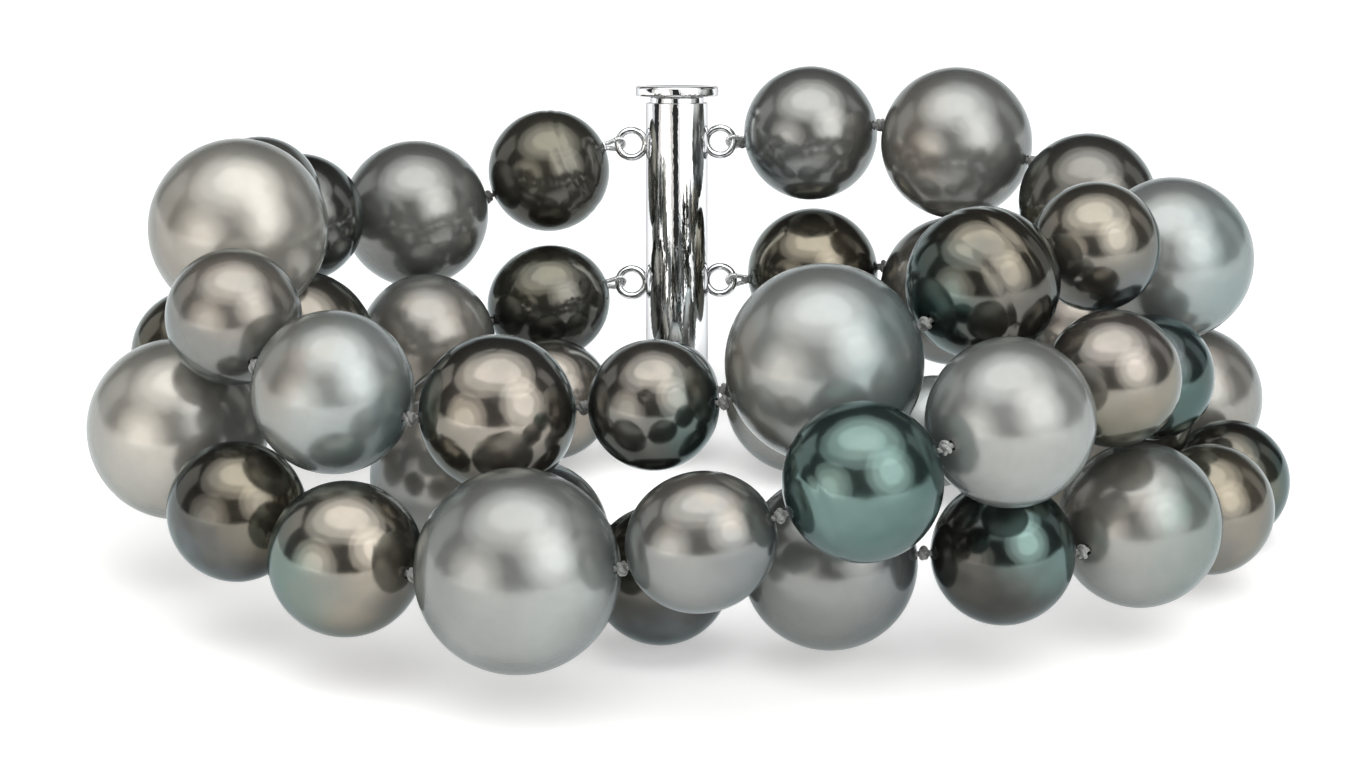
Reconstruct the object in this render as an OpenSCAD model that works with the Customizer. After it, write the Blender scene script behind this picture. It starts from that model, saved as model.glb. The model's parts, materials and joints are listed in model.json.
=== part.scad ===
// Two strands of dark cultured pearls on knotted silk, coiled three rows high,
// closed by a two-ring tube slide clasp. Millimetres, +Z up, standing on z = 0.

/* [Pearls and silk] */
// Silk that each hand-tied knot leaves between two pearls
knot_gap = 1.1; // [1.05:0.05:1.2]
// Diameter of the silk cord
silk_d = 0.6; // [0.5:0.05:0.65]
// Diameter of the hole drilled through each pearl
drill_d = 0.76; // [0.76:0.02:0.84]
// Diameter of a knot
knot_d = 1.2; // [1:0.05:1.25]
// Length of a knot along the silk
knot_len = 0.56; // [0.4:0.02:0.6]
// Width of an oval pearl across its hole, as a share of its length
oval_share = 0.92; // [0.9:0.01:1]

/* [Clasp] */
// Outer diameter of the clasp's outer tube
tube_d = 5.25; // [5.1:0.05:5.3]
// Length of the outer tube
tube_len = 22.5; // [22:0.5:23]
// Wall of both tubes
tube_wall = 0.3; // [0.25:0.05:0.35]
// Gap all round between the inner tube and the outer one
slide_gap = 0.08; // [0.05:0.01:0.1]
// Distance between the two rings on each side
ring_pitch = 11.7; // [11.4:0.1:11.8]
// Distance from the tube's mouth down to the upper ring
ring_drop = 3.5; // [3.3:0.1:3.7]
// Outer diameter of a ring
ring_d = 2.9; // [2.75:0.05:2.95]
// Diameter of a ring's wire
wire_d = 0.6; // [0.5:0.02:0.62]
// Diameter of the coiled metal thread round each end loop of silk
gimp_d = 0.5; // [0.44:0.02:0.52]
// Diameter of the thumb cap
cap_d = 7; // [6.5:0.1:7.2]
// Thickness of the thumb cap
cap_t = 1; // [0.8:0.05:1.1]
// Length of inner tube that shows between the cap and the outer tube
neck_len = 0.45; // [0.3:0.05:0.6]
// Angle that the clasp leans back
lean = 15; // [14:1:16]

/* [Hidden] */
$fn = 64;
drill_side = drill_d / 2;
oval_steps = 28;

// The upper strand's knots, from the left ring round the front to the right ring
upper_knots = [
    [-16, 35, 18], [-28, 29, 17], [-34.5, 20.5, 22], [-33, 10.5, 26.5],
    [-36, -4.5, 25], [-32, -14.5, 20.5], [-20, -20.5, 18.5], [-7, -19.5, 19],
    [3.5, -22.5, 20.5], [18.5, -20.5, 26], [27.5, -12, 29.5], [36.5, -6, 27],
    [41, 6, 21.5], [38, 18, 19.5], [29.5, 26, 24], [17, 31.5, 25.5]
];
// The lower strand's knots: once round at mid height, then once round on the table
lower_knots = [
    [-16, 27, 9.5], [-25.5, 19, 9], [-36, 12.5, 14], [-41, 2, 13.5],
    [-37, -12.5, 10.5], [-30, -22, 9], [-19.5, -29.5, 9.5], [-4, -34.5, 12],
    [7.5, -35.5, 16.5], [19.5, -33.5, 21], [29.5, -24, 21.5], [36, -14.5, 21],
    [37, -5.5, 15], [33.5, 4, 8.5], [25.2, 10.4, 3.4], [16.8, 15.4, 6.7],
    [4, 21.2, 5.7], [-5.9, 22.2, 4.6], [-15, 16, 6.6], [-19.5, 5, 6],
    [-15.5, -9, 7.5], [-7, -19, 5], [4.5, -21.5, 6.5], [18.5, -24, 9],
    [30.5, -22.5, 8.5], [40, -12.5, 9], [43, -3, 3.5], [45, 7.5, 6],
    [38.5, 18, 10], [29, 24.5, 11], [17.5, 31.5, 13]
];

// Body colours of cultured black pearls
black = [0.20, 0.20, 0.19];
charcoal = [0.30, 0.31, 0.31];
bronze = [0.37, 0.33, 0.28];
peacock = [0.27, 0.38, 0.36];
steel = [0.45, 0.47, 0.47];
silver = [0.62, 0.64, 0.63];
cream = [0.67, 0.64, 0.59];
upper_tones = [
    bronze, charcoal, black, steel, cream, charcoal, silver, bronze, charcoal,
    silver, black, bronze, silver, charcoal, bronze, steel, charcoal
];
lower_tones = [
    black, steel, charcoal, bronze, cream, charcoal, bronze, silver, steel,
    peacock, silver, bronze, peacock, charcoal, bronze, silver, steel, charcoal,
    bronze, steel, silver, charcoal, black, steel, peacock, silver, bronze,
    peacock, silver, bronze, steel, black
];
// Pearls of the lower strand that are longer than they are wide
lower_ovals = [0, 8];

// The clasp in its own frame: +Z up the tube, the upper outer ring at z = 0
clasp_at = [0, 35, 22.7];
inner_rise = 0.2;
bore_d = tube_d - 2 * tube_wall;
inner_d = bore_d - 2 * slide_gap;
plug_t = 0.8;
inner_base = ring_drop - tube_len + plug_t + 0.4;
ring_mid = (ring_d - wire_d) / 2;
outer_ring_x = tube_d / 2 + ring_d / 2 - 0.25;
inner_ring_x = inner_d / 2 + ring_d / 2 - 0.05;
loop_mid = wire_d / 2 + gimp_d / 2 + 0.07;
slot_w = wire_d + 0.3;
slot_base = -ring_pitch - ring_d / 2 - 0.4;
solder_r = 0.5;
end_reach = 1.8;
silk_start = 0.15;
left_silk_start = 0.3;
right_silk_end = 0.62;

function in_clasp(p) = clasp_at + [
    p.x,
    p.y * cos(lean) + p.z * sin(lean),
    p.z * cos(lean) - p.y * sin(lean)
];
function strand_path(knots, level) = concat(
    [in_clasp([-outer_ring_x - end_reach, 0, level])],
    knots,
    [in_clasp([inner_ring_x + end_reach, 0, level + inner_rise])]
);
upper_path = strand_path(upper_knots, 0);
lower_path = strand_path(lower_knots, -ring_pitch);
upper_count = len(upper_path) - 1;
lower_count = len(lower_path) - 1;

// A pearl fills the span between its two knots, less one knot gap
function span(path, i) = norm(path[i + 1] - path[i]);
function size_of(path, i) = span(path, i) - knot_gap;
function mid_of(path, i) = (path[i] + path[i + 1]) / 2;
function tops(path, axis, side) = [
    for (i = [0 : len(path) - 2]) mid_of(path, i)[axis] + side * size_of(path, i) / 2
];
function high(axis) = max(concat(tops(upper_path, axis, 1), tops(lower_path, axis, 1)));
function low(axis) = min(concat(tops(upper_path, axis, -1), tops(lower_path, axis, -1)));
table_centre = [(high(0) + low(0)) / 2, (high(1) + low(1)) / 2, low(2)];

function numbered(name, i) = str(name, i < 9 ? "0" : "", i + 1);
function numbered_all(name, count) = [for (i = [0 : count - 1]) numbered(name, i)];

module along(a, b) {
    way = b - a;
    translate(a) rotate([0, acos(way.z / norm(way)), atan2(way.y, way.x)]) children();
}

module pearl(path, i, tone, oval) {
    d = size_of(path, i);
    length = span(path, i);
    color(tone) along(path[i], path[i + 1]) difference() {
        translate([0, 0, length / 2]) {
            if (oval) oval_body(d, d * oval_share);
            else sphere(d = d);
        }
        cylinder(r = drill_side, h = length);
    }
}

module oval_body(length, width) {
    rotate_extrude() polygon([
        for (k = [0 : oval_steps])
            let (a = 180 * k / oval_steps - 90)
                [max(0, cos(a)) * width / 2, sin(a) * length / 2]
    ]);
}

module silk(path) {
    last = len(path) - 2;
    color("gainsboro") {
        for (i = [0 : last]) {
            from = i == 0 ? left_silk_start : silk_start;
            to = span(path, i) - (i == last ? right_silk_end : silk_start);
            along(path[i], path[i + 1]) translate([0, 0, from]) cylinder(d = silk_d, h = to - from);
        }
        for (i = [1 : last]) knot(path[i - 1], path[i], path[i + 1]);
    }
}

module knot(before, here, after) {
    way = (here - before) / norm(here - before) + (after - here) / norm(after - here);
    side = knot_d / 2;
    end = side * 0.7;
    half = knot_len / 2;
    along(here, here + way) rotate_extrude() polygon([
        [0, -half], [end, -half], [side, -half / 2], [side, half / 2], [end, half], [0, half]
    ]);
}

module ring(x, level) {
    translate([x, 0, level]) rotate([90, 0, 0]) rotate_extrude()
        translate([ring_mid, 0]) circle(d = wire_d, $fn = 32);
}

module end_loop(x, level) {
    translate([x, 0, level]) rotate_extrude()
        translate([loop_mid, 0]) circle(d = gimp_d, $fn = 32);
}

module in_clasp_frame() {
    translate(clasp_at) rotate([-lean, 0, 0]) children();
}

module outer_tube() {
    color("silver") in_clasp_frame() difference() {
        translate([0, 0, ring_drop - tube_len]) cylinder(d = tube_d, h = tube_len);
        translate([0, 0, ring_drop - tube_len - 1]) cylinder(d = bore_d, h = tube_len + 2);
        translate([0, -slot_w / 2, slot_base]) cube([tube_d, slot_w, tube_len]);
    }
}

module tube_plug() {
    color("silver") in_clasp_frame() translate([0, 0, ring_drop - tube_len]) cylinder(d = bore_d, h = plug_t);
}

module outer_rings() {
    color("silver") in_clasp_frame() difference() {
        for (level = [0, -ring_pitch]) {
            ring(-outer_ring_x, level);
            translate([-tube_d / 2, 0, level]) sphere(r = solder_r);
        }
        translate([0, 0, ring_drop - tube_len]) cylinder(d = tube_d, h = tube_len);
    }
}

module inner_tube() {
    color("silver") in_clasp_frame() difference() {
        translate([0, 0, inner_base]) cylinder(d = inner_d, h = ring_drop + neck_len - inner_base);
        translate([0, 0, inner_base - 1]) cylinder(d = inner_d - 2 * tube_wall, h = tube_len + 2);
    }
}

module inner_rings() {
    color("silver") in_clasp_frame() difference() {
        for (level = [0, -ring_pitch]) ring(inner_ring_x, level + inner_rise);
        translate([0, 0, inner_base]) cylinder(d = inner_d, h = tube_len);
    }
}

module thumb_cap() {
    edge = cap_t / 4;
    side = cap_d / 2;
    color("silver") in_clasp_frame() translate([0, 0, ring_drop + neck_len]) rotate_extrude() polygon([
        [0, 0], [side - edge, 0], [side, edge], [side, cap_t - edge], [side - edge, cap_t], [0, cap_t]
    ]);
}

module left_end_loops() {
    color("silver") in_clasp_frame()
        for (level = [0, -ring_pitch]) end_loop(-outer_ring_x - ring_mid, level);
}

module right_end_loops() {
    color("silver") in_clasp_frame()
        for (level = [0, -ring_pitch]) end_loop(inner_ring_x + ring_mid, level + inner_rise);
}

translate(-table_centre) {
    for (i = [0 : upper_count - 1])
        pearl(upper_path, i, upper_tones[i], false);
    for (i = [0 : lower_count - 1])
        pearl(lower_path, i, lower_tones[i], len(search(i, lower_ovals)) > 0);
    silk(upper_path);  // upper_silk
    silk(lower_path);  // lower_silk
    left_end_loops();
    right_end_loops();
    outer_tube();
    tube_plug();
    outer_rings();
    inner_tube();
    inner_rings();
    thumb_cap();
}
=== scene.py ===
"""Two strands of dark cultured pearls on knotted silk, coiled to a ring and closed by a tube slide clasp.

Laid out as an add-on and run as a script. Lengths in settings are millimetres unless they say otherwise.
"""

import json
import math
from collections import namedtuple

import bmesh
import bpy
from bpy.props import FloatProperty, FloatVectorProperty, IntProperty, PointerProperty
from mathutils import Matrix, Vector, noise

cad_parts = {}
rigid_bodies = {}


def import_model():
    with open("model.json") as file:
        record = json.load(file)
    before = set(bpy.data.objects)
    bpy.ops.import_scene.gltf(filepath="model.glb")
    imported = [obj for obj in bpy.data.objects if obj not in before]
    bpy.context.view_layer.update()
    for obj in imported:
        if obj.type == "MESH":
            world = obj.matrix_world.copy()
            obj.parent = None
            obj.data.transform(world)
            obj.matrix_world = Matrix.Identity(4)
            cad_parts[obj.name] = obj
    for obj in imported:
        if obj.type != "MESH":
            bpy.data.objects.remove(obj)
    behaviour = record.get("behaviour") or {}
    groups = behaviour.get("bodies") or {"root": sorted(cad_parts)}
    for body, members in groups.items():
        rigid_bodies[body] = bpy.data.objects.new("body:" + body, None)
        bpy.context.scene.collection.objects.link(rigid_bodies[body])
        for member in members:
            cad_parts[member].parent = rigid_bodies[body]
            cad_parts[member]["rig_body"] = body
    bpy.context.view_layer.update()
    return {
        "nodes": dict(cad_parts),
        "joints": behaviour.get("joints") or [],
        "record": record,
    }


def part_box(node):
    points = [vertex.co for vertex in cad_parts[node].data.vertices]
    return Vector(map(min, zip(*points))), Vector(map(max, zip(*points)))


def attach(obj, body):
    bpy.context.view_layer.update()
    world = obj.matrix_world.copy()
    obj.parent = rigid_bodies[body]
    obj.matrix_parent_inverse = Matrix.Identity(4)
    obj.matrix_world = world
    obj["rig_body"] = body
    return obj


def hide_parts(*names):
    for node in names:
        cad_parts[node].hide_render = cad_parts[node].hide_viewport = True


bl_info = {
    "name": "Coiled Pearl Strands",
    "version": (1, 0, 0),
    "blender": (4, 5, 0),
    "location": "View3D > Sidebar > Pearls",
    "description": "Pearls, knotted silk, wire-covered end loops and a slide clasp around a fixed frame",
    "category": "Object",
}

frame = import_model()

MM = 0.001
JOINT_OF = {joint["child"]: joint for joint in frame["joints"]}
TUBE_WAY = Vector(JOINT_OF["clasp_tongue"]["axis"]).normalized()
STRANDS = ("upper", "lower")

# Faces round the metal pieces and the silk
TUBE_FACES = 128
RING_FACES = 64
WIRE_FACES = 24
KNOT_STEPS = 54
GIMP_TURN_STEPS = 9

# Colours of the nacre, as linear red, green and blue
INK = (0.045, 0.045, 0.041)
ONYX = (0.085, 0.085, 0.078)
UMBER = (0.120, 0.112, 0.094)
SMOKE = (0.185, 0.180, 0.163)
BRONZE = (0.26, 0.235, 0.19)
GREY = (0.215, 0.217, 0.206)
STEEL = (0.24, 0.246, 0.236)
PEWTER = (0.27, 0.27, 0.255)
SILVER = (0.31, 0.317, 0.306)
PALE = (0.325, 0.352, 0.345)
CREAM = (0.43, 0.41, 0.365)
TEAL = (0.055, 0.105, 0.098)
PEACOCK = (0.115, 0.178, 0.165)
AQUA = (0.225, 0.290, 0.288)
MINT = (0.150, 0.208, 0.185)
BLUE = (0.145, 0.165, 0.174)
OLIVE = (0.145, 0.138, 0.102)
GOLD = (0.215, 0.19, 0.142)
CHAMPAGNE = (0.30, 0.268, 0.228)
ROSE = (0.29, 0.258, 0.238)

# body and shade: the two colours that cloud into each other over the pearl
# milk: how much of the colour is scattered softly, where the rest is mirrored
# glow and glow_way: an overtone, and the side of the pearl that it lies on; that side is where the lamps'
# highlights show, so the overtone is partly painted highlight colour
# flush and flush_way: a second overtone and its side, mostly where the lamps' highlights lie, so it is
# partly painted highlight colour
# circles: grooves round the pearl, as heights from -1 to 1 along its drill hole
# pits: small dimples in the skin, as directions from the pearl's middle
# waves: how deep its slow dents are, where 1 is usual
Look = namedtuple(
    "Look", "body shade milk glow glow_way flush flush_way circles pits waves", defaults=((), (), 1.0)
)

# The sides of a pearl, all turned a little to the front of the coil, towards the camera, where the lamps'
# highlights show and the overtones laid on them act partly as painted highlight colour
RIGHT = (1, -0.3, 0)
LEFT = (-1, -0.3, 0)
UP = (0, -0.4, 1)
DOWN = (0, -0.5, -1)
FRONT = (0, -1, 0.3)
LOW_RIGHT = (0.8, -0.4, -0.7)
LOW_LEFT = (-0.8, -0.4, -0.7)
HIGH_RIGHT = (0.8, -0.4, 0.7)
HIGH_LEFT = (-0.8, -0.4, 0.7)

# One look for each pearl, from the left end of its strand to the right end
LOOKS = {
    "upper": (
        Look(UMBER, ONYX, 0.20, OLIVE, UP, UMBER, LEFT, circles=(-0.5, -0.35)),
        Look(PEWTER, STEEL, 0.34, STEEL, LOW_LEFT, PEWTER, FRONT),
        Look(ONYX, UMBER, 0.12, STEEL, RIGHT, BLUE, DOWN),
        Look(GREY, STEEL, 0.23, GOLD, FRONT, TEAL, DOWN),
        Look(CREAM, PEWTER, 0.45, CREAM, FRONT, CHAMPAGNE, LEFT),
        Look(STEEL, SMOKE, 0.31, CHAMPAGNE, UP, STEEL, LOW_LEFT),
        Look(PALE, SILVER, 0.47, AQUA, LOW_RIGHT, CHAMPAGNE, HIGH_LEFT),
        Look(SMOKE, UMBER, 0.09, CHAMPAGNE, FRONT, OLIVE, LEFT, waves=1.8),
        Look(SMOKE, ONYX, 0.12, TEAL, RIGHT, CHAMPAGNE, UP, pits=((-0.12, -0.85, 0.45),)),
        Look(SILVER, PALE, 0.43, AQUA, RIGHT, CHAMPAGNE, LEFT),
        Look(UMBER, ONYX, 0.09, TEAL, LEFT, GOLD, UP, circles=(-0.45, 0.1, 0.35, 0.5)),
        Look(SMOKE, UMBER, 0.14, BRONZE, UP, BLUE, LOW_RIGHT),
        Look(PALE, SILVER, 0.45, AQUA, RIGHT, CHAMPAGNE, LEFT),
        Look(BRONZE, SMOKE, 0.16, GOLD, UP, TEAL, RIGHT),
        Look(SMOKE, UMBER, 0.16, SMOKE, UP, OLIVE, LEFT),
        Look(PEWTER, SILVER, 0.39, CHAMPAGNE, LEFT, STEEL, RIGHT),
        Look(STEEL, PEWTER, 0.28, PEWTER, UP, BLUE, LOW_LEFT),
    ),
    "lower": (
        Look(ONYX, INK, 0.12, OLIVE, UP, SMOKE, RIGHT, waves=2.0),
        Look(PEWTER, SILVER, 0.39, CHAMPAGNE, FRONT, STEEL, LEFT),
        Look(UMBER, SMOKE, 0.16, CHAMPAGNE, FRONT, OLIVE, RIGHT),
        Look(UMBER, ONYX, 0.16, OLIVE, LEFT, GOLD, UP),
        Look(CREAM, SILVER, 0.43, CREAM, HIGH_LEFT, PEWTER, LOW_RIGHT),
        Look(UMBER, INK, 0.12, GOLD, HIGH_RIGHT, BLUE, LOW_LEFT),
        Look(BRONZE, SMOKE, 0.09, MINT, LEFT, CHAMPAGNE, UP),
        Look(SILVER, STEEL, 0.39, PALE, RIGHT, PEWTER, UP),
        Look(STEEL, GREY, 0.25, BLUE, RIGHT, CHAMPAGNE, UP),
        Look(PEACOCK, TEAL, 0.12, PEACOCK, LEFT, MINT, UP, circles=(-0.6,)),
        Look(SILVER, PEWTER, 0.45, SILVER, LEFT, PALE, LOW_RIGHT),
        Look(BRONZE, SMOKE, 0.16, OLIVE, DOWN, ROSE, UP),
        Look(ONYX, TEAL, 0.12, TEAL, RIGHT, BLUE, UP),
        Look(SMOKE, UMBER, 0.16, BLUE, UP, CHAMPAGNE, LEFT),
        Look(BRONZE, UMBER, 0.16, GOLD, UP, TEAL, LEFT),
        Look(SILVER, PALE, 0.40, PALE, UP, SILVER, LEFT),
        Look(STEEL, PEWTER, 0.35, AQUA, UP, CHAMPAGNE, FRONT),
        Look(SMOKE, GREY, 0.20, GOLD, FRONT, BLUE, UP),
        Look(SMOKE, UMBER, 0.16, CHAMPAGNE, FRONT, OLIVE, LEFT),
        Look(STEEL, GREY, 0.31, CHAMPAGNE, UP, STEEL, FRONT),
        Look(STEEL, PEWTER, 0.35, CHAMPAGNE, UP, BLUE, LEFT),
        Look(GREY, STEEL, 0.27, BLUE, UP, GOLD, RIGHT),
        Look(INK, ONYX, 0.12, UMBER, HIGH_LEFT, BLUE, DOWN),
        Look(STEEL, GREY, 0.33, BLUE, RIGHT, STEEL, FRONT),
        Look(INK, ONYX, 0.10, PEACOCK, HIGH_RIGHT, UMBER, LEFT),
        Look(SILVER, PEWTER, 0.39, MINT, RIGHT, CHAMPAGNE, HIGH_LEFT),
        Look(SMOKE, BRONZE, 0.17, GOLD, UP, OLIVE, LEFT),
        Look(ONYX, UMBER, 0.12, TEAL, RIGHT, GOLD, FRONT),
        Look(SILVER, PALE, 0.39, CHAMPAGNE, FRONT, AQUA, LEFT),
        Look(BRONZE, PEWTER, 0.27, CHAMPAGNE, UP, ROSE, LEFT),
        Look(SMOKE, GREY, 0.23, CHAMPAGNE, UP, STEEL, DOWN),
        Look(UMBER, INK, 0.12, GOLD, UP, OLIVE, LEFT),
    ),
}


# ---------------------------------------------------------------- settings


class PearlSettings(bpy.types.PropertyGroup):
    """The pearls' drill holes, how far they are from perfect balls, and their finish."""

    around: IntProperty(name="Faces round", description="Faces round a pearl", default=112, min=24)
    down: IntProperty(name="Faces down", description="Faces from hole to hole", default=60, min=12)
    hole: FloatProperty(name="Drill hole", description="Diameter of the drilled hole", default=0.76)
    rim: FloatProperty(name="Hole rim", description="Rounding of the hole's edge", default=0.09)
    unevenness: FloatProperty(
        name="Unevenness", description="Depth of the slow dents in a pearl, as a share of its radius",
        default=0.008, subtype="FACTOR",
    )
    circle_depth: FloatProperty(
        name="Circle depth", description="Depth of a groove, as a share of the radius",
        default=0.010, subtype="FACTOR",
    )
    circle_width: FloatProperty(
        name="Circle width", description="Half width of a groove, as a share of the radius",
        default=0.045, subtype="FACTOR",
    )
    pit_depth: FloatProperty(
        name="Pit depth", description="Depth of a pit, as a share of the radius",
        default=0.02, subtype="FACTOR",
    )
    pit_width: FloatProperty(
        name="Pit width", description="Half width of a pit, as a share of the radius",
        default=0.07, subtype="FACTOR",
    )
    satin: FloatProperty(
        name="Satin", description="Roughness of the darkest, glossiest nacre",
        default=0.13, subtype="FACTOR",
    )
    softness: FloatProperty(
        name="Softness", description="How much rougher a milky pearl is than a dark one",
        default=0.24, subtype="FACTOR",
    )
    # Painted shade: the next two settings darken the nacre's colour towards each pearl's outline as the
    # camera sees it
    painted_rim_shade_reach: FloatProperty(
        name="Rim reach", description="How far in from its outline a pearl darkens",
        default=0.25, subtype="FACTOR",
    )
    painted_rim_shade_tone: FloatVectorProperty(
        name="Rim tone", description="What the nacre's colour is multiplied by at the outline",
        default=(0.22, 0.25, 0.25), subtype="COLOR",
    )
    gloss: FloatProperty(
        name="Gloss", description="Roughness of the polished top layer", default=0.10, subtype="FACTOR"
    )


class SilkSettings(bpy.types.PropertyGroup):
    """The silk cord, its knots and the wire-covered loops at its ends."""

    cord: FloatProperty(name="Cord", description="Diameter of the twisted silk", default=0.6)
    turn: FloatProperty(name="Twist", description="Length of one full turn of the twist", default=1.4)
    gap: FloatProperty(name="Knot gap", description="Silk between two pearls", default=1.1)
    knot_width: FloatProperty(name="Knot width", description="Diameter of a knot", default=1.22)
    knot_length: FloatProperty(name="Knot length", description="Length of a knot", default=0.74)
    knot_strand: FloatProperty(name="Knot strand", description="Thickness of silk in a knot", default=0.40)
    gimp: FloatProperty(name="Gimp", description="Diameter of the coiled wire on a loop", default=0.42)
    gimp_wire: FloatProperty(name="Gimp wire", description="Diameter of its wire", default=0.12)
    gimp_pitch: FloatProperty(name="Gimp pitch", description="Distance between its turns", default=0.15)
    loop_tilt: FloatProperty(
        name="Loop tilt", description="How far a loop is turned up out of the ring's own level",
        default=math.radians(40), subtype="ANGLE",
    )
    colour: FloatVectorProperty(
        name="Silk colour", description="Colour of the silk", default=(0.30, 0.305, 0.295), subtype="COLOR"
    )


class ClaspSettings(bpy.types.PropertyGroup):
    """The slide clasp's small sizes. Its long ones come from the frame."""

    wall: FloatProperty(name="Wall", description="Wall of both tubes", default=0.3)
    edge: FloatProperty(name="Edge", description="Rounding of the metal's edges", default=0.07)
    slot: FloatProperty(name="Slot", description="Width of the slot for the inner rings", default=0.9)
    slot_foot: FloatProperty(
        name="Slot foot", description="Distance from the tube's lower end to the slot's end", default=5.45
    )
    ring: FloatProperty(name="Ring", description="Outer diameter of a ring", default=2.9)
    wire: FloatProperty(name="Ring wire", description="Diameter of the ring's wire", default=0.6)
    pitch: FloatProperty(name="Ring pitch", description="Distance between a side's rings", default=11.7)
    colour: FloatVectorProperty(
        name="Metal colour", description="Colour of the polished metal",
        default=(0.87, 0.88, 0.89), subtype="COLOR",
    )


class StageSettings(bpy.types.PropertyGroup):
    """The table, the lights round it and the camera."""

    floor_size: FloatProperty(name="Floor", description="Width of the floor in metres", default=12.0)
    aim_x: FloatProperty(name="Aim across", description="Camera's target, left to right", default=-1.41)
    aim_y: FloatProperty(name="Aim back", description="Camera's target, front to back", default=0.23)
    aim_z: FloatProperty(name="Aim up", description="Camera's target, above the table", default=13.46)
    distance: FloatProperty(name="Distance", description="From the camera to that point", default=430.0)
    height: FloatProperty(
        name="Camera angle", description="Angle that the camera looks down", default=math.radians(19.97),
        subtype="ANGLE",
    )
    lens: FloatProperty(name="Lens", description="Focal length on a 36 mm sensor", default=144.9)


# ------------------------------------------------------------ shared shapes


def turn_to(way):
    """The rotation that stands +Z along a direction."""
    return way.to_track_quat("Z", "Y").to_matrix().to_4x4()


def box_middle(node):
    low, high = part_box(node)
    return (low + high) / 2


def round_size(node):
    """Radius and half length of a round piece that leans with the clasp, from the piece's upright box."""
    low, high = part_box(node)
    size = high - low
    return size.x / 2, (size.z - size.x * TUBE_WAY.y) / TUBE_WAY.z / 2


def ways_along(points, closed):
    """The way that a line of points runs at each of them: from the point before to the point after."""
    last = len(points) - 1
    ways = []
    for i in range(len(points)):
        if closed:
            before, after = points[i - 1], points[(i + 1) % len(points)]
        else:
            before, after = points[max(i - 1, 0)], points[min(i + 1, last)]
        ways.append((after - before).normalized())
    return ways


def sweep(bm, points, radius, sides, closed=False):
    """A round tube along points: one ring of vertices, extruded from point to point."""
    ways = ways_along(points, closed)
    place = Matrix.Translation(points[0]) @ turn_to(ways[0])
    ring = bmesh.ops.create_circle(
        bm, cap_ends=not closed, segments=sides, radius=radius, matrix=place
    )["verts"]
    edges = list(dict.fromkeys(e for v in ring for e in v.link_edges))
    first = list(edges)
    for i in range(1, len(points)):
        grown = bmesh.ops.extrude_edge_only(bm, edges=edges)["geom"]
        ring = [g for g in grown if isinstance(g, bmesh.types.BMVert)]
        inside = set(ring)
        linked = [e for v in ring for e in v.link_edges if e.verts[0] in inside and e.verts[1] in inside]
        edges = list(dict.fromkeys(linked))
        bend = ways[i - 1].rotation_difference(ways[i]).to_matrix()
        bmesh.ops.rotate(bm, cent=points[i - 1], matrix=bend, verts=ring)
        bmesh.ops.translate(bm, vec=points[i] - points[i - 1], verts=ring)
    if closed:
        bmesh.ops.bridge_loops(bm, edges=edges + first)
    else:
        bmesh.ops.contextual_create(bm, geom=edges)


def spun(bm, outline, steps, place=Matrix.Identity(4)):
    """A closed outline of (radius, height) pairs turned round +Z, then put in its place."""
    verts = [bm.verts.new((r, 0, z)) for r, z in outline]
    on_axis = [v for v in verts if v.co.x < 1e-9]
    pairs = list(zip(verts, verts[1:] + verts[:1]))
    edges = [bm.edges.new(p) for p in pairs if not (p[0] in on_axis and p[1] in on_axis)]
    before = set(bm.verts) - set(verts)
    bmesh.ops.spin(
        bm, geom=verts + edges, cent=(0, 0, 0), axis=(0, 0, 1), angle=math.tau, steps=steps, use_merge=True
    )
    made = [v for v in bm.verts if v not in before]
    bmesh.ops.remove_doubles(bm, verts=made, dist=1e-8)
    made = [v for v in bm.verts if v not in before]
    bmesh.ops.transform(bm, matrix=place, verts=made)


def arc(cx, cz, radius, start, end, steps):
    """Points of (radius, height) along an arc, its angles in degrees from the outward side."""
    angles = [math.radians(start + (end - start) * k / steps) for k in range(steps + 1)]
    return [(cx + radius * math.cos(a), cz + radius * math.sin(a)) for a in angles]


def finish_piece(bm, name, material, body, slot, *nodes):
    """Turns a finished bmesh into a smooth piece that rides on a body in place of CAD nodes."""
    bmesh.ops.recalc_face_normals(bm, faces=bm.faces)
    mesh = bpy.data.meshes.new(name)
    bm.to_mesh(mesh)
    bm.free()
    mesh.shade_smooth()
    mesh.materials.append(material)
    piece = bpy.data.objects.new(name, mesh)
    bpy.context.scene.collection.objects.link(piece)
    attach(piece, body)
    if nodes:
        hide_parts(*nodes)
    return piece


# ---------------------------------------------------------------- materials


# The part of a noise texture's range that holds nearly all of its values
NOISE_SPAN = (0.34, 0.66)


class NodeWriter:
    """Adds nodes to a tree, each with its inputs set or linked."""

    def __init__(self, tree):
        self.tree = tree

    def node(self, kind, inputs, **settings):
        made = self.tree.nodes.new(kind)
        for key, value in settings.items():
            setattr(made, key, value)
        for key, value in inputs.items():
            self.put(made, key, value)
        return made

    def put(self, node, key, value):
        if isinstance(value, bpy.types.NodeSocket):
            self.tree.links.new(value, node.inputs[key])
        else:
            node.inputs[key].default_value = value

    def ramp(self, value, start, end, low=0.0, high=1.0):
        """A smooth change from low to high while a value goes from start to end."""
        ends = {"From Min": start, "From Max": end, "To Min": low, "To Max": high}
        made = self.node("ShaderNodeMapRange", {"Value": value, **ends}, interpolation_type="SMOOTHSTEP")
        return made.outputs["Result"]

    def times(self, a, b):
        return self.node("ShaderNodeMath", {0: a, 1: b}, operation="MULTIPLY").outputs[0]


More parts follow.
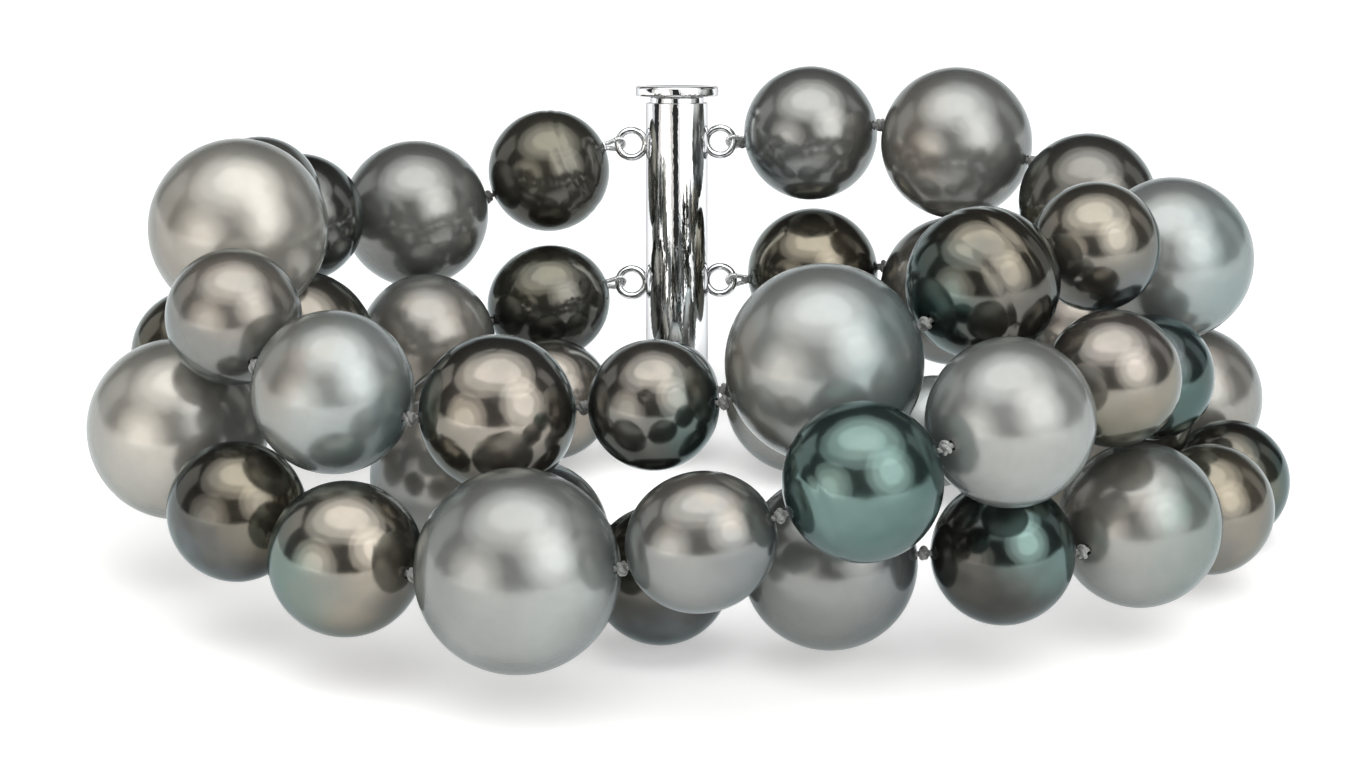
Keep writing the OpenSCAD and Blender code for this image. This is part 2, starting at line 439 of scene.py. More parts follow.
class Recipe(NodeWriter):
    """A material being written, node by node, around one Principled shader."""

    def __init__(self, name):
        self.material = bpy.data.materials.new(name)
        self.material.use_nodes = True
        super().__init__(self.material.node_tree)
        self.shader = self.tree.nodes["Principled BSDF"]

    def shade(self, **values):
        """Sets or links the shader's own sockets; an underscore in a name stands for a space."""
        for key, value in values.items():
            self.put(self.shader, key.replace("_", " "), value)

    def own_space(self, centre, radius):
        """Coordinates that run from -1 to 1 across a piece, whatever its place."""
        coords = self.node("ShaderNodeTexCoord", {})
        placed = self.node(
            "ShaderNodeMapping",
            {"Vector": coords.outputs["Object"], "Location": centre, "Scale": (radius,) * 3},
            vector_type="TEXTURE",
        )
        return placed.outputs["Vector"]

    def cloud(self, vector, scale, detail, low, high, turn=0.0):
        """Soft noise, spread from low to high, different for each turn."""
        shifted = self.node(
            "ShaderNodeVectorMath", {0: vector, 1: (turn, turn * 0.37, -turn * 0.61)}, operation="ADD"
        )
        grain = self.node(
            "ShaderNodeTexNoise", {"Vector": shifted.outputs[0], "Scale": scale, "Detail": detail}
        )
        return self.ramp(grain.outputs["Fac"], *NOISE_SPAN, low, high)

    def side(self, vector, way, start, end):
        """A mask that grows across the piece towards one side, from 0 at start to 1 at end."""
        dot = self.node(
            "ShaderNodeVectorMath", {0: vector, 1: Vector(way).normalized()}, operation="DOT_PRODUCT"
        )
        return self.ramp(dot.outputs["Value"], start, end)

    def mix(self, factor, a, b, way="MIX"):
        """One colour over another, each a socket or three numbers."""
        made = self.tree.nodes.new("ShaderNodeMix")
        made.data_type = "RGBA"
        made.blend_type = way
        self.put(made, 0, factor)
        for key, value in ((6, a), (7, b)):
            self.put(made, key, value if isinstance(value, bpy.types.NodeSocket) else (*value, 1.0))
        return made.outputs[2]

    def bump(self, height, strength, distance):
        """Fine relief, with its distance in metres."""
        made = self.node("ShaderNodeBump", {"Height": height, "Strength": strength, "Distance": distance})
        self.shade(Normal=made.outputs["Normal"])


def nacre(name, seen, centre, radius, seed, settings):
    """Pearl nacre: mirror-like layers that cloud from colour to colour, a milky body and a clear top, with
    painted shade darkening the outline and overtones laid where the lamps' highlights fall as partly painted
    highlight colour.
    """
    recipe = Recipe(name)
    space = recipe.own_space(centre, radius)
    body = recipe.mix(recipe.cloud(space, 1.1, 2.0, 0.0, 0.8, seed), seen.body, seen.shade)
    # Overtone on one side, placed where the lamps' highlights show: partly the pearl's own overtone, partly
    # painted highlight colour
    glow_cloud = recipe.cloud(space, 1.7, 1.0, 0.5, 0.95, seed + 5)
    glow = recipe.times(recipe.side(space, seen.glow_way, 0.1, 0.9), glow_cloud)
    body = recipe.mix(glow, body, seen.glow)
    # Second overtone, mostly where the lamps' hot spots lie: partly the pearl's own overtone, partly painted
    # highlight colour
    flush_cloud = recipe.cloud(space, 2.3, 1.0, 0.3, 0.75, seed + 9)
    flush = recipe.times(recipe.side(space, seen.flush_way, 0.3, 1.0), flush_cloud)
    body = recipe.mix(flush, body, seen.flush)
    speckle = recipe.cloud(space, 9.0, 1.0, 0.0, 0.05, seed + 2)
    body = recipe.mix(speckle, body, tuple(c * 0.5 for c in seen.body))
    # Painted shade: the colour is multiplied darker towards the outline, where Layer Weight's facing rises
    rim = recipe.node("ShaderNodeLayerWeight", {"Blend": settings.painted_rim_shade_reach})
    body = recipe.mix(rim.outputs["Facing"], body, settings.painted_rim_shade_tone, "MULTIPLY")
    rough = settings.satin + settings.softness * seen.milk
    recipe.shade(
        Base_Color=body,
        Metallic=1.0 - seen.milk,
        Roughness=recipe.cloud(space, 4.0, 3.0, rough - 0.02, rough + 0.03, seed + 3),
        Coat_Weight=0.2,
        Coat_Roughness=settings.gloss,
        Coat_IOR=1.5,
        Specular_Tint=(0.66, 0.74, 0.76, 1.0),
    )
    recipe.bump(recipe.cloud(space, 4.0, 0.0, 0.0, 1.0, seed + 7), 1.0, radius * 0.0016 * seen.waves)
    return recipe.material


def polished_metal(name, colour, roughness=0.025):
    """Mirror-polished rhodium-plated silver with the faint drag lines of the polishing cloth."""
    recipe = Recipe(name)
    space = recipe.own_space(box_middle("outer_tube"), 0.003)
    long_lines = recipe.node("ShaderNodeMapping", {"Vector": space, "Scale": (2.6, 2.6, 0.08)})
    drag = recipe.cloud(long_lines.outputs["Vector"], 6.0, 2.0, 0.0, 1.0)
    haze = recipe.cloud(space, 2.0, 3.0, roughness * 0.7, roughness * 1.9, 4.0)
    tarnish = recipe.cloud(space, 1.3, 3.0, 0.0, 0.12, 8.0)
    recipe.shade(
        Base_Color=recipe.mix(tarnish, tuple(colour), tuple(c * 0.8 for c in colour)),
        Metallic=1.0,
        Roughness=haze,
        Specular_Tint=(0.42, 0.43, 0.44, 1.0),
    )
    recipe.bump(drag, 0.10, 0.00002)
    return recipe.material


def twisted_silk(name, colour):
    """Silk thread with the fine lie of its fibres and a soft sheen."""
    recipe = Recipe(name)
    space = recipe.own_space((0, 0, 0), 0.001)
    fibre = recipe.cloud(space, 7.0, 5.0, 0.0, 1.0)
    wave = recipe.node(
        "ShaderNodeTexWave", {"Vector": space, "Scale": 1.9, "Distortion": 2.0, "Detail": 2.0},
        bands_direction="DIAGONAL",
    )
    dark = tuple(c * 0.35 for c in colour)
    recipe.shade(
        Base_Color=recipe.mix(recipe.times(fibre, 0.7), tuple(colour), dark),
        Roughness=recipe.cloud(space, 3.0, 2.0, 0.45, 0.65, 3.0),
        Sheen_Weight=0.6,
        Sheen_Roughness=0.35,
    )
    recipe.bump(wave.outputs["Fac"], 0.35, 0.00004)
    return recipe.material


# ------------------------------------------------------------------- pearls


Pearl = namedtuple("Pearl", "node body centre way along across")


def strand_pearls(strand):
    """Each pearl of a strand as the frame has it: its middle, its drill hole's way and its two radii."""
    found = []
    for node in sorted(n for n in frame["nodes"] if n.startswith(strand + "_pearl_")):
        cad = frame["nodes"][node]
        joint = JOINT_OF[cad["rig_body"]]
        centre, way = Vector(joint["pos_m"]), Vector(joint["axis"]).normalized()
        offsets = [v.co - centre for v in cad.data.vertices]
        along = max(o.length for o in offsets)
        across = max((o - way * o.dot(way)).length for o in offsets)
        found.append(Pearl(node, cad["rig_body"], centre, way, max(along, across), across))
    return found


def pearl_outline(pearl, settings):
    """The half outline of a drilled pearl, from hole to hole round the outside and back up the hole."""
    hole, rim = settings.hole * MM / 2, settings.rim * MM
    last = math.acos((hole + rim) / pearl.across)
    steps = settings.down
    angles = [last - 2 * last * k / steps for k in range(steps + 1)]
    skin = [(pearl.across * math.cos(a), pearl.along * math.sin(a)) for a in angles]
    mouth = pearl.along * math.sin(last)
    inner = [
        (hole + rim * 0.3, mouth - rim * 0.12),
        (hole, mouth - rim * 0.6),
    ]
    return skin + [(r, -z) for r, z in inner] + list(reversed(inner))


def dent(direction, seen, seed, settings):
    """How far a pearl's skin lies below a perfect ball in one direction, as a share of its radius."""
    slow = noise.noise(direction * 1.15 + Vector((seed * 3.1, seed, -seed)))
    depth = settings.unevenness * seen.waves * (0.5 + 0.5 * slow)
    wobble = 0.03 * noise.noise(direction * 2.0 + Vector((seed, 0, 0)))
    for height in seen.circles:
        away = (direction.z + wobble - height) / settings.circle_width
        depth += settings.circle_depth * math.exp(-away * away)
    return depth


def pearl_piece(pearl, seen, seed, settings):
    """One drilled pearl with its dents, grooves and pits, in its own nacre."""
    bm = bmesh.new()
    spun(bm, pearl_outline(pearl, settings), settings.around)
    turned = turn_to(pearl.way)
    pits = [(turned.inverted() @ Vector(p)).normalized() for p in seen.pits]
    bore = settings.hole * MM / 2 + settings.rim * MM * 0.5
    for v in bm.verts:
        if v.co.xy.length < bore:
            continue
        direction = v.co.normalized()
        depth = dent(direction, seen, seed, settings)
        for pit in pits:
            away = (direction - pit).length / settings.pit_width
            depth += settings.pit_depth * math.exp(-away * away)
        v.co *= 1 - depth
    bmesh.ops.transform(bm, matrix=Matrix.Translation(pearl.centre) @ turned, verts=bm.verts)
    material = nacre("nacre_" + pearl.node, seen, pearl.centre, pearl.across, seed, settings)
    slot = next(s["material_slot"] for s in frame["record"]["subparts"] if s["node"] == pearl.node)
    return finish_piece(bm, "nacre_" + pearl.node, material, pearl.body, slot, pearl.node)


def string_pearls(strand):
    """All pearls of a strand, each with its own look and seed."""
    settings = bpy.context.scene.pearl_settings
    offset = 100 * STRANDS.index(strand)
    for i, (pearl, seen) in enumerate(zip(strand_pearls(strand), LOOKS[strand], strict=True)):
        pearl_piece(pearl, seen, offset + i * 1.7, settings)


class PEARLS_OT_upper_pearls(bpy.types.Operator):
    """Makes the seventeen drilled pearls of the upper strand"""

    bl_idname = "pearls.upper_pearls"
    bl_label = "Upper strand's pearls"

    def execute(self, context):
        string_pearls("upper")
        return {"FINISHED"}


class PEARLS_OT_lower_pearls(bpy.types.Operator):
    """Makes the thirty-two drilled pearls of the lower strand, which goes round twice"""

    bl_idname = "pearls.lower_pearls"
    bl_label = "Lower strand's pearls"

    def execute(self, context):
        string_pearls("lower")
        return {"FINISHED"}


# --------------------------------------------------------------------- silk


def knot_mesh(settings):
    """One overhand knot, standing on +Z: a closed trefoil of silk pulled tight."""
    bm = bmesh.new()
    strand = settings.knot_strand * MM / 2
    reach = (settings.knot_width * MM / 2 - strand) / 3
    lift = settings.knot_length * MM / 2 - strand
    points = []
    for k in range(KNOT_STEPS):
        t = math.tau * k / KNOT_STEPS
        out = reach * (2 + math.cos(3 * t))
        points.append(Vector((out * math.cos(2 * t), out * math.sin(2 * t), lift * math.sin(3 * t))))
    sweep(bm, points, strand, 8, closed=True)
    mesh = bpy.data.meshes.new("knot_pattern")
    bm.to_mesh(mesh)
    bm.free()
    return mesh


def add_to(bm, part):
    """Moves a small finished bmesh into a larger one."""
    mesh = bpy.data.meshes.new("part")
    part.to_mesh(mesh)
    part.free()
    bm.from_mesh(mesh)
    bpy.data.meshes.remove(mesh)


def twisted_cord(bm, start, end, settings):
    """A straight stretch of two-ply silk: a two-lobed outline that turns as it goes along."""
    part = bmesh.new()
    way = end - start
    radius = settings.cord * MM / 2
    bmesh.ops.create_circle(part, cap_ends=True, segments=12, radius=radius)
    for v in part.verts:
        v.co.y *= 0.62
    bmesh.ops.transform(part, matrix=Matrix.Translation(start) @ turn_to(way), verts=part.verts)
    steps = max(2, round(way.length / (settings.turn * MM / 8)))
    angle = math.tau * way.length / (settings.turn * MM)
    edges = list(part.edges)
    grown = bmesh.ops.spin(
        part, geom=edges, cent=start, axis=way.normalized(), dvec=way / steps, angle=angle, steps=steps
    )["geom_last"]
    bmesh.ops.contextual_create(part, geom=[g for g in grown if isinstance(g, bmesh.types.BMEdge)])
    bmesh.ops.remove_doubles(part, verts=part.verts, dist=1e-8)
    bmesh.ops.recalc_face_normals(part, faces=part.faces)
    add_to(bm, part)


def strand_knots(strand, settings):
    """The points that the silk runs through: just inside the first pearl, then past each pearl's far end."""
    half_gap = settings.gap * MM / 2
    pearls = strand_pearls(strand)
    start = pearls[0].centre - pearls[0].way * (pearls[0].along - half_gap)
    return [start] + [p.centre + p.way * (p.along + half_gap) for p in pearls]


def silk_piece(strand):
    """A strand's whole cord: a twisted stretch inside each pearl and a knot between every two."""
    settings = bpy.context.scene.silk_settings
    knots = strand_knots(strand, settings)
    bm = bmesh.new()
    for start, end in zip(knots, knots[1:]):
        twisted_cord(bm, start, end, settings)
    pattern = knot_mesh(settings)
    last = len(knots) - 1
    # The lower cord's right end has no knot, because its wire-covered loop begins there
    tied = last + 1 if strand == "upper" else last
    for i in range(1, tied):
        way = knots[min(i + 1, last)] - knots[i - 1]
        roll = Matrix.Rotation(i * 2.4, 4, "Z")
        before = set(bm.verts)
        bm.from_mesh(pattern)
        added = [v for v in bm.verts if v not in before]
        place = Matrix.Translation(knots[i]) @ turn_to(way) @ roll
        bmesh.ops.transform(bm, matrix=place, verts=added)
    bpy.data.meshes.remove(pattern)
    material = twisted_silk(strand + "_silk_thread", settings.colour)
    finish_piece(bm, strand + "_knotted_silk", material, "strung_clasp", "silk_cord", strand + "_silk")


class PEARLS_OT_silk(bpy.types.Operator):
    """Twists the two silk cords and ties a knot between every two pearls"""

    bl_idname = "pearls.silk"
    bl_label = "Knotted silk"

    def execute(self, context):
        for strand in STRANDS:
            silk_piece(strand)
        return {"FINISHED"}


# -------------------------------------------------------------------- clasp


def ring_middles(node, side):
    """The middles of the two rings on one side of the clasp: side is -1 on the left and 1 on the right."""
    settings = bpy.context.scene.clasp_settings
    low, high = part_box(node)
    x = (low.x if side < 0 else high.x) - side * settings.ring * MM / 2
    middle = Vector((x, (low.y + high.y) / 2, (low.z + high.z) / 2))
    reach = TUBE_WAY * settings.pitch * MM / 2
    return [middle + reach, middle - reach]


def clasp_space():
    """The clasp's own axes: across, front to back, and up the tube."""
    across = Vector((1, 0, 0))
    back = TUBE_WAY.cross(across)
    return Matrix((across, back, TUBE_WAY)).transposed().to_4x4()


def clasp_place(node):
    """The clasp's own axes, moved to the middle of one of its round pieces."""
    return Matrix.Translation(box_middle(node)) @ clasp_space()


def rings_piece(node, side, body, material):
    """The two wire rings of one side, each with the blob of solder that holds it to its tube."""
    settings = bpy.context.scene.clasp_settings
    wire = settings.wire * MM / 2
    middle_radius = settings.ring * MM / 2 - wire
    bm = bmesh.new()
    space = clasp_space()
    for middle in ring_middles(node, side):
        stand = Matrix.Translation(middle) @ space @ Matrix.Rotation(math.pi / 2, 4, "X")
        spun(bm, arc(middle_radius, 0, wire, 0, 360 - 360 / WIRE_FACES, WIRE_FACES - 1), RING_FACES, stand)
        foot = middle - Vector((side * (middle_radius + wire * 0.6), 0, 0))
        squash = Matrix.Diagonal((1.15, 0.95, 1.5, 1.0))
        before = set(bm.verts)
        bmesh.ops.create_uvsphere(bm, u_segments=WIRE_FACES, v_segments=14, radius=wire * 1.25)
        blob = [v for v in bm.verts if v not in before]
        bmesh.ops.transform(bm, matrix=Matrix.Translation(foot) @ space @ squash, verts=blob)
    return finish_piece(bm, "soldered_" + node, material, body, "clasp_silver", node)


def tube_outline(outer, wall, bottom, top, edge):
    """A tube's wall as a closed outline with rounded edges at both ends."""
    inner = outer - wall
    r = min(edge, wall * 0.45)
    return (
        arc(outer - r, bottom + r, r, -90, 0, 4) + arc(outer - r, top - r, r, 0, 90, 4)
        + arc(inner + r, top - r, r, 90, 180, 4) + arc(inner + r, bottom + r, r, 180, 270, 4)
    )


def outer_tube_piece(material):
    """The outer tube, spun upright so that its slot can be cut, then leant into its place."""
    settings = bpy.context.scene.clasp_settings
    radius, half = round_size("outer_tube")
    bm = bmesh.new()
    spun(bm, tube_outline(radius, settings.wall * MM, -half, half, settings.edge * MM), TUBE_FACES)
    piece = finish_piece(bm, "slotted_outer_tube", material, "strung_clasp", "clasp_silver", "outer_tube")
    cut_slot(piece, radius, half, settings)
    piece.data.transform(clasp_place("outer_tube"))
    return piece


def cut_slot(piece, radius, half, settings):
    """Opens the slot down the tube's right side, round at its lower end, with its edges eased."""
    side = settings.slot * MM / 2
    foot = -half + settings.slot_foot * MM + side
    bm = bmesh.new()
    outline = [Vector((0, y, z)) for y, z in arc(0, 0, side, 180, 360, 16)]
    outline = [Vector((0, p.y, p.z + foot)) for p in outline]
    outline += [Vector((0, side, half * 1.2)), Vector((0, -side, half * 1.2))]
    face = bm.faces.new([bm.verts.new(p) for p in outline])
    grown = bmesh.ops.extrude_face_region(bm, geom=[face])["geom"]
    verts = [g for g in grown if isinstance(g, bmesh.types.BMVert)]
    bmesh.ops.translate(bm, vec=(radius * 1.5, 0, 0), verts=verts)
    bmesh.ops.recalc_face_normals(bm, faces=bm.faces)
    mesh = bpy.data.meshes.new("slot_cutter")
    bm.to_mesh(mesh)
    bm.free()
    cutter = bpy.data.objects.new("slot_cutter", mesh)
    bpy.context.scene.collection.objects.link(cutter)
    cut = piece.modifiers.new("slot", "BOOLEAN")
    cut.object = cutter
    cut.operation = "DIFFERENCE"
    cut.solver = "EXACT"
    ease = piece.modifiers.new("ease", "BEVEL")
    ease.width = settings.edge * MM * 0.6
    ease.segments = 3
    ease.limit_method = "ANGLE"
    ease.angle_limit = math.radians(50)
    bpy.context.view_layer.update()
    shaped = bpy.data.meshes.new_from_object(piece.evaluated_get(bpy.context.evaluated_depsgraph_get()))
    piece.modifiers.clear()
    old = piece.data
    piece.data = shaped
    shaped.name = old.name + "_slotted"
    bpy.data.meshes.remove(old)
    bpy.data.objects.remove(cutter)
    bpy.data.meshes.remove(mesh)
    shaped.shade_smooth()
    shaped.set_sharp_from_angle(angle=math.radians(40))


def plug_piece(material):
    """The round-edged plug that closes the outer tube's lower end."""
    radius, half = round_size("tube_plug")
    edge = bpy.context.scene.clasp_settings.edge * MM
    outline = [(0, -half)] + arc(radius - edge, -half + edge, edge, -90, 0, 4)
    outline += arc(radius - edge, half - edge, edge, 0, 90, 4) + [(0, half)]
    bm = bmesh.new()
    spun(bm, outline, 96, clasp_place("tube_plug"))
    return finish_piece(bm, "domed_tube_plug", material, "strung_clasp", "clasp_silver", "tube_plug")


class PEARLS_OT_outer_tube(bpy.types.Operator):
    """Makes the slotted outer tube of the clasp, its two left rings and the plug in its lower end"""

    bl_idname = "pearls.outer_tube"
    bl_label = "Outer tube, plug and rings"

    def execute(self, context):
        colour = context.scene.clasp_settings.colour
        outer_tube_piece(polished_metal("polished_outer_tube", colour))
        plug_piece(polished_metal("polished_plug", colour))
        rings_piece("outer_rings", -1, "strung_clasp", polished_metal("polished_outer_rings", colour))
        return {"FINISHED"}


def inner_tube_piece(material):
    """The plain tube that slides inside the outer one."""
    settings = bpy.context.scene.clasp_settings
    radius, half = round_size("inner_tube")
    outline = tube_outline(radius, settings.wall * MM, -half, half, settings.edge * MM)
    bm = bmesh.new()
    spun(bm, outline, TUBE_FACES, clasp_place("inner_tube"))
    return finish_piece(bm, "sliding_inner_tube", material, "clasp_tongue", "clasp_silver", "inner_tube")


def cap_piece(material):
    """The thumb cap: a flat disc with a rounded edge and a shallow dish in its top."""
    radius, half = round_size("thumb_cap")
    edge = half * 0.5
    dish = half * 0.12
    outline = [(0, -half), (radius * 0.55, -half)]
    outline += arc(radius - edge, -half + edge, edge, -90, 0, 6)
    outline += arc(radius - edge, half - edge, edge, 0, 90, 6)
    outline += [(radius * 0.80, half), (radius * 0.74, half - dish), (0, half - dish)]
    bm = bmesh.new()
    spun(bm, outline, TUBE_FACES, clasp_place("thumb_cap"))
    piece = finish_piece(bm, "rounded_thumb_cap", material, "clasp_tongue", "clasp_silver", "thumb_cap")
    piece.data.set_sharp_from_angle(angle=math.radians(50))
    return piece


class PEARLS_OT_tongue(bpy.types.Operator):
    """Makes the clasp's tongue: the inner tube, its two right rings and the thumb cap"""

    bl_idname = "pearls.tongue"
    bl_label = "Inner tube, cap and rings"

    def execute(self, context):
        colour = context.scene.clasp_settings.colour
        inner_tube_piece(polished_metal("polished_inner_tube", colour))
        cap_piece(polished_metal("polished_cap", colour))
        rings_piece("inner_rings", 1, "clasp_tongue", polished_metal("polished_inner_rings", colour))
        return {"FINISHED"}


# ---------------------------------------------------------------- end loops


def loop_route(ring, side, goal, settings, wire):
    """The line of a wire-covered loop: from the pearl, once round the ring's wire, and back to the pearl."""
    gimp = settings.gimp * MM / 2
    around = wire + gimp + 0.03 * MM
    crown = ring + Vector((side * (bpy.context.scene.clasp_settings.ring * MM / 2 - wire), 0, 0))
    out = (goal - crown).normalized()
    front = TUBE_WAY.cross(out) * -side
    beside = front * math.cos(settings.loop_tilt) + TUBE_WAY * math.sin(settings.loop_tilt)
    wide = around / math.cos(settings.loop_tilt)
    bow = [
        crown + out * math.cos(a) * around + beside * math.sin(a) * wide
        for a in (math.radians(60 + 240 * k / 14) for k in range(15))
    ]
    legs = (goal - crown).length
    necks = [crown + out * (around + (legs - around) * 0.4) + TUBE_WAY * gimp * 1.1 * s for s in (1, -1)]
    ends = [goal + TUBE_WAY * gimp * 0.98 * s for s in (1, -1)]
    return [ends[0], necks[0]] + bow + [necks[1], ends[1]]


def even_line(points, step):
    """Points at even steps along a smooth curve through the given ones."""
    fine = []
    for i in range(len(points) - 1):
        before, here = points[max(i - 1, 0)], points[i]
        after, beyond = points[i + 1], points[min(i + 2, len(points) - 1)]
        for k in range(12):
            t = k / 12
            fine.append(0.5 * (
                2 * here + (after - before) * t + (2 * before - 5 * here + 4 * after - beyond) * t * t
                + (3 * here - before - 3 * after + beyond) * t * t * t
            ))
    fine.append(points[-1])
    line, left = [fine[0]], step
    for a, b in zip(fine, fine[1:]):
        length = (b - a).length
        while length > left:
            a = a + (b - a) * (left / length)
            line.append(a)
            length = (b - a).length
            left = step
        left -= length
    return line


def gimp_coil(bm, route, settings):
    """A fine wire wound round a route, turn against turn, over a plain core."""
    wire = settings.gimp_wire * MM / 2
    coil = settings.gimp * MM / 2 - wire
    line = even_line(route, settings.gimp_pitch * MM / GIMP_TURN_STEPS)
    side = (line[1] - line[0]).orthogonal().normalized()
    points = []
    for i in range(1, len(line)):
        way = (line[i] - line[i - 1]).normalized()
        side = (side - way * side.dot(way)).normalized()
        angle = math.tau * i / GIMP_TURN_STEPS
        points.append(line[i] + (side * math.cos(angle) + way.cross(side) * math.sin(angle)) * coil)
    sweep(bm, points, wire, 6)
    sweep(bm, even_line(route, 0.12 * MM), coil * 0.9, 8)


def end_loops_piece(node, side, ring_node, body, material):
    """The two wire-covered loops of one side, each from its strand's end pearl through its ring."""
    settings = bpy.context.scene.silk_settings
    wire = bpy.context.scene.clasp_settings.wire * MM / 2
    bm = bmesh.new()
    for strand, ring in zip(STRANDS, ring_middles(ring_node, side), strict=True):
        pearls = strand_pearls(strand)
        pearl = pearls[0] if side < 0 else pearls[-1]
        hole = pearl.centre + pearl.way * pearl.along * side
        route = loop_route(ring, side, hole + pearl.way * side * 0.06 * MM, settings, wire)
        gimp_coil(bm, route, settings)
    return finish_piece(bm, "gimp_" + node, material, body, "gimp_wire", node)


class PEARLS_OT_end_loops(bpy.types.Operator):
    """Winds the fine wire that covers the silk where it passes through the clasp's rings"""

    bl_idname = "pearls.end_loops"
    bl_label = "Wire-covered end loops"

    def execute(self, context):
        colour = tuple(c * 0.92 for c in context.scene.clasp_settings.colour)
        metal = polished_metal("gimp_thread", colour, 0.16)
        end_loops_piece("left_end_loops", -1, "outer_rings", "strung_clasp", metal)
        end_loops_piece("right_end_loops", 1, "inner_rings", "clasp_tongue", metal)
        return {"FINISHED"}


# -------------------------------------------------------------------- stage


def from_angles(across, up):
    """The way from the pearls to a lamp: degrees right of the camera's side, and degrees above the table."""
    across, up = math.radians(across), math.radians(up)
    return Vector((math.sin(across) * math.cos(up), -math.cos(across) * math.cos(up), math.sin(up)))


def lamp(name, across, up, distance, width, height, shape, brightness, colour):
    """A flat lamp that faces the pearls. Distance and size are metres, brightness is its face's light."""
    data = bpy.data.lights.new(name, "AREA")
    data.shape = shape
    data.size = width
    data.size_y = height
    area = width * height * (math.pi / 4 if shape == "ELLIPSE" else 1.0)
    data.energy = brightness * math.pi * area
    data.color = colour
    holder = bpy.data.objects.new(name, data)
    way = from_angles(across, up)
    holder.location = aim_point() + way * distance
    holder.rotation_euler = way.to_track_quat("Z", "Y").to_euler()
    holder.visible_camera = False
    bpy.context.scene.collection.objects.link(holder)


def umbrella(name, across, up, distance, width, height, glow, core, colour):
    """A round diffuser: an even glow, with a hot spot in two steps laid just in front of it."""
    layers = (("", 1.0, glow), ("_middle", 0.68, core * 0.4), ("_core", 0.38, core * 0.6))
    for i, (part, share, brightness) in enumerate(layers):
        size = width * share, height * share
        lamp(name + part, across, up, distance - 0.01 * i, *size, "ELLIPSE", brightness, colour)


def aim_point():
    settings = bpy.context.scene.stage_settings
    return Vector((settings.aim_x, settings.aim_y, settings.aim_z)) * MM


def floor_material():
    """Matt white, which glows more and more away from the lamps so that it stays white to its far edge."""
    recipe = Recipe("matt_white_table")
    space = recipe.own_space((0, 0, 0), 0.05)
    grain = recipe.cloud(space, 3.0, 3.0, 0.0, 0.02)
    away = recipe.node("ShaderNodeVectorMath", {0: space}, operation="LENGTH")
    recipe.shade(
        Base_Color=recipe.mix(grain, (0.85, 0.85, 0.85), (0.83, 0.83, 0.84)),
        Roughness=0.9,
        Specular_IOR_Level=0.1,
        Emission_Color=(1.0, 1.0, 1.0, 1.0),
        Emission_Strength=recipe.ramp(away.outputs["Value"], 0.9, 12.0, 0.40, 1.0),
    )
    return recipe.material


def make_floor():
    size = bpy.context.scene.stage_settings.floor_size
    bm = bmesh.new()
    bmesh.ops.create_grid(bm, x_segments=1, y_segments=1, size=size / 2)
    mesh = bpy.data.meshes.new("table")
    bm.to_mesh(mesh)
    bm.free()
    mesh.materials.append(floor_material())
    floor = bpy.data.objects.new("table", mesh)
    bpy.context.scene.collection.objects.link(floor)


def make_room():
    """The room round the table: a low white backdrop behind it, and dim walls and ceiling."""
    world = bpy.data.worlds.new("studio")
    bpy.context.scene.world = world
    world.use_nodes = True
    writer = NodeWriter(world.node_tree)
    coords = writer.node("ShaderNodeTexCoord", {})
    way = writer.node("ShaderNodeSeparateXYZ", {0: coords.outputs["Generated"]})
    behind = writer.ramp(way.outputs["Y"], 0.70, 0.85)
    low_down = writer.ramp(way.outputs["Z"], 0.12, 0.34, 1.0, 0.0)
    backdrop = writer.times(behind, low_down)
    strength = writer.node("ShaderNodeMath", {0: backdrop, 1: 0.03}, operation="ADD")
    background = world.node_tree.nodes["Background"]
    writer.put(background, "Strength", strength.outputs[0])
    writer.put(background, "Color", (1.0, 1.0, 1.0, 1.0))


def place_camera():
    settings = bpy.context.scene.stage_settings
    data = bpy.data.cameras.new("camera")
    data.lens = settings.lens
    data.sensor_width = 36.0
    data.clip_start = 0.01
    camera = bpy.data.objects.new("camera", data)
    away = Vector((0, -math.cos(settings.height), math.sin(settings.height)))
    camera.location = aim_point() + away * settings.distance * MM
    camera.rotation_euler = (math.pi / 2 - settings.height, 0, 0)
    bpy.context.scene.collection.objects.link(camera)
    bpy.context.scene.camera = camera


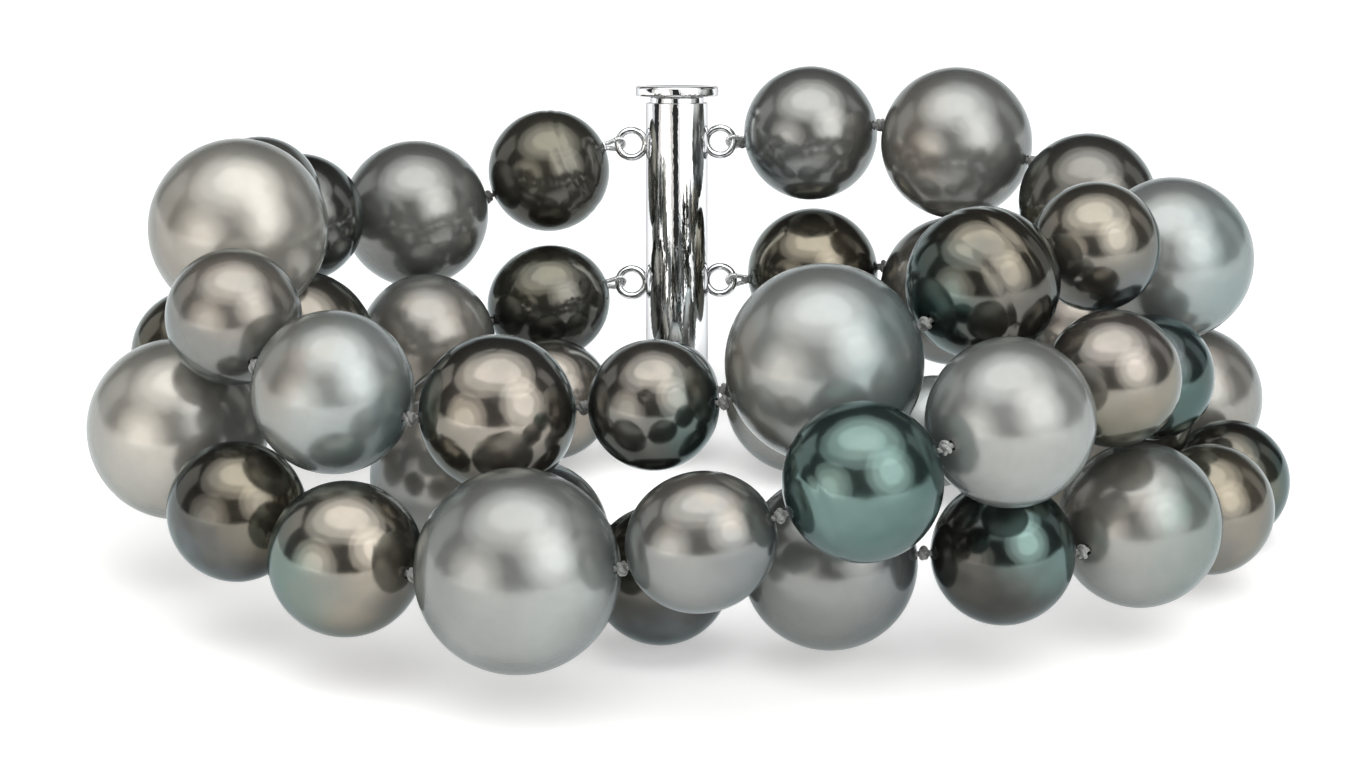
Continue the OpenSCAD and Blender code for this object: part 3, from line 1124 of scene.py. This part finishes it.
class PEARLS_OT_stage(bpy.types.Operator):
    """Lays the table and sets the lamps, the room and the camera"""

    bl_idname = "pearls.stage"
    bl_label = "Table, lamps and camera"

    def execute(self, context):
        make_floor()
        make_room()
        umbrella("overhead", 0, 82, 0.40, 1.05, 0.75, 0.85, 2.0, (1.0, 1.0, 1.0))
        umbrella("right_front", 43, 27, 0.36, 0.50, 0.50, 0.95, 2.1, (1.0, 0.99, 0.98))
        umbrella("left_front", -46, 6, 0.36, 0.46, 0.46, 0.75, 1.5, (1.0, 0.96, 0.92))
        lamp("left_panel", -113, 12, 0.45, 0.24, 0.40, "RECTANGLE", 0.7, (1.0, 1.0, 1.0))
        lamp("right_panel", 113, 14, 0.45, 0.14, 0.40, "RECTANGLE", 0.5, (1.0, 1.0, 1.0))
        place_camera()
        context.scene.view_settings.view_transform = "Standard"
        return {"FINISHED"}


# -------------------------------------------------------------------- panel


SETTINGS = (
    ("pearl_settings", PearlSettings),
    ("silk_settings", SilkSettings),
    ("clasp_settings", ClaspSettings),
    ("stage_settings", StageSettings),
)
STEPS = (
    PEARLS_OT_stage,
    PEARLS_OT_upper_pearls,
    PEARLS_OT_lower_pearls,
    PEARLS_OT_silk,
    PEARLS_OT_outer_tube,
    PEARLS_OT_tongue,
    PEARLS_OT_end_loops,
)


class PEARLS_PT_panel(bpy.types.Panel):
    """Lists the steps that make the piece, and their settings"""

    bl_idname = "PEARLS_PT_panel"
    bl_label = "Pearl strands"
    bl_space_type = "VIEW_3D"
    bl_region_type = "UI"
    bl_category = "Pearls"

    def draw(self, context):
        for step in STEPS:
            self.layout.operator(step.bl_idname)
        for name, group in SETTINGS:
            box = self.layout.box()
            for key in group.__annotations__:
                box.prop(getattr(context.scene, name), key)


def register():
    for name, group in SETTINGS:
        bpy.utils.register_class(group)
        setattr(bpy.types.Scene, name, PointerProperty(type=group))
    for step in STEPS:
        bpy.utils.register_class(step)
    bpy.utils.register_class(PEARLS_PT_panel)


def unregister():
    bpy.utils.unregister_class(PEARLS_PT_panel)
    for step in reversed(STEPS):
        bpy.utils.unregister_class(step)
    for name, group in reversed(SETTINGS):
        delattr(bpy.types.Scene, name)
        bpy.utils.unregister_class(group)


def main():
    register()
    bpy.ops.pearls.stage()
    bpy.ops.pearls.upper_pearls()
    bpy.ops.pearls.lower_pearls()
    bpy.ops.pearls.silk()
    bpy.ops.pearls.outer_tube()
    bpy.ops.pearls.tongue()
    bpy.ops.pearls.end_loops()


if __name__ == "__main__":
    main()
